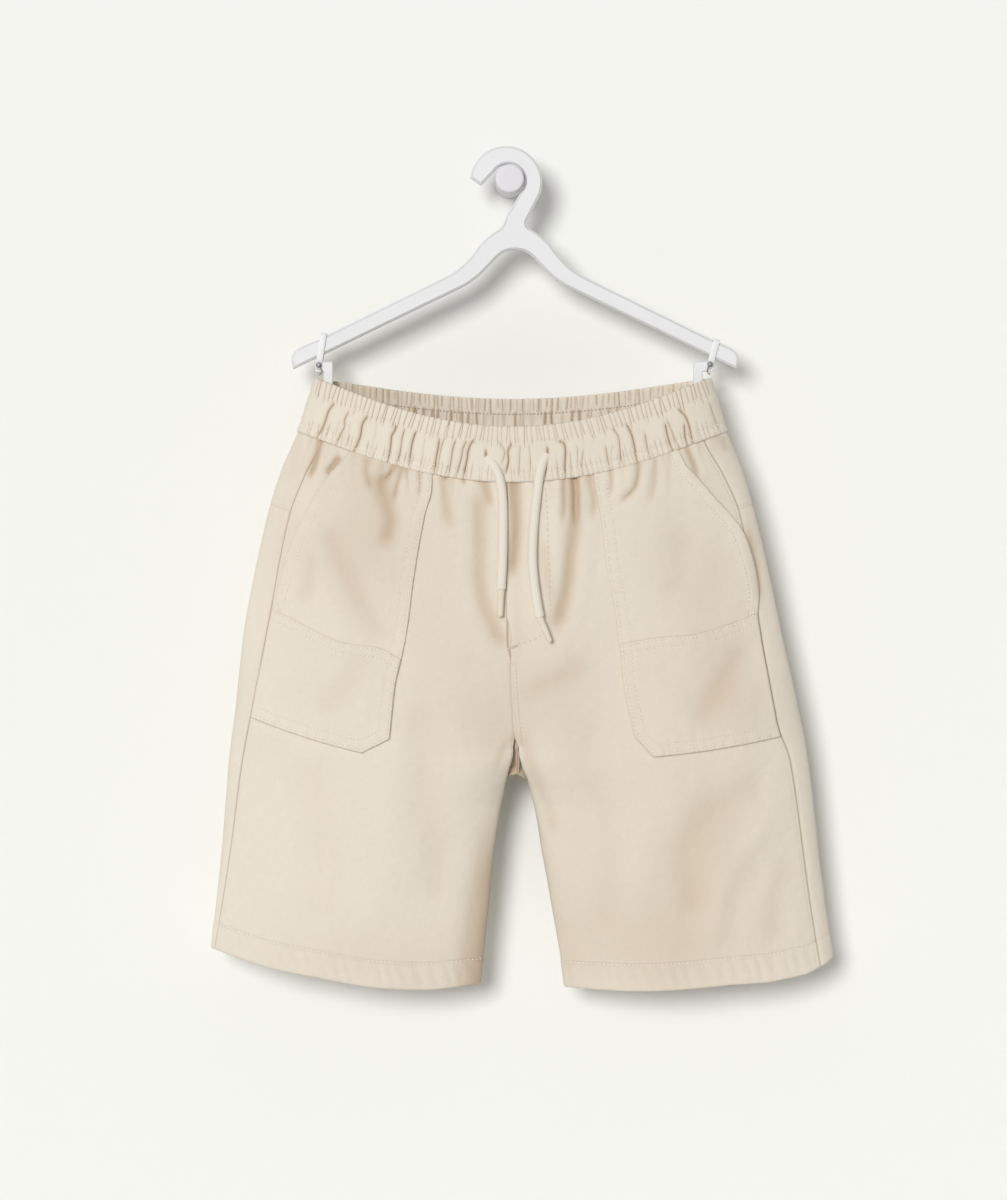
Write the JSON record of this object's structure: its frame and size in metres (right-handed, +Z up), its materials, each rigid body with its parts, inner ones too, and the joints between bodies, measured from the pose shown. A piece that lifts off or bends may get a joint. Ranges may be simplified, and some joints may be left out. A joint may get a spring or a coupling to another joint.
{
  "type": "bermuda shorts on a hanger",
  "caption": "Bermuda shorts in pale cotton with a gathered waistband, drawcord, mock fly and patch pockets, hung by clips from a flat hanger on a round wall peg.",
  "frame": {"origin": "centre of the wall peg's flat back face, which lies against the wall", "axes": "+Z up, +Y into the wall, so the shorts' front faces -Y, and +X towards the wearer's left"},
  "size_m": [0.4363, 0.0883, 0.5881],
  "materials": {
    "cotton": "matt cotton twill",
    "cotton_band": "matt cotton twill",
    "cotton_pocket": "matt cotton twill",
    "cord_cotton": "braided cotton",
    "cord_tip": "satin",
    "white_paint": "satin white paint",
    "white_plastic": "satin",
    "steel": "dull"
  },
  "bodies": {
    "root": {"waistband": "cotton_band", "front_panel_left": "cotton", "back_yoke_left": "cotton_band", "back_leg_left": "cotton", "pocket_left": "cotton_pocket", "pocket_patch_left": "cotton_pocket", "drawcord_left": "cord_cotton", "drawcord_tip_left": "cord_tip", "strap_left": "white_plastic", "clip_tab_left": "white_plastic", "clip_pin_left": "steel", "front_panel_right": "cotton", "back_yoke_right": "cotton_band", "back_leg_right": "cotton", "pocket_right": "cotton_pocket", "pocket_patch_right": "cotton_pocket", "drawcord_right": "cord_cotton", "drawcord_tip_right": "cord_tip", "strap_right": "white_plastic", "clip_tab_right": "white_plastic", "clip_pin_right": "steel", "hanger": "white_paint", "wall_peg": "white_paint"}
  },
  "joints": []
}
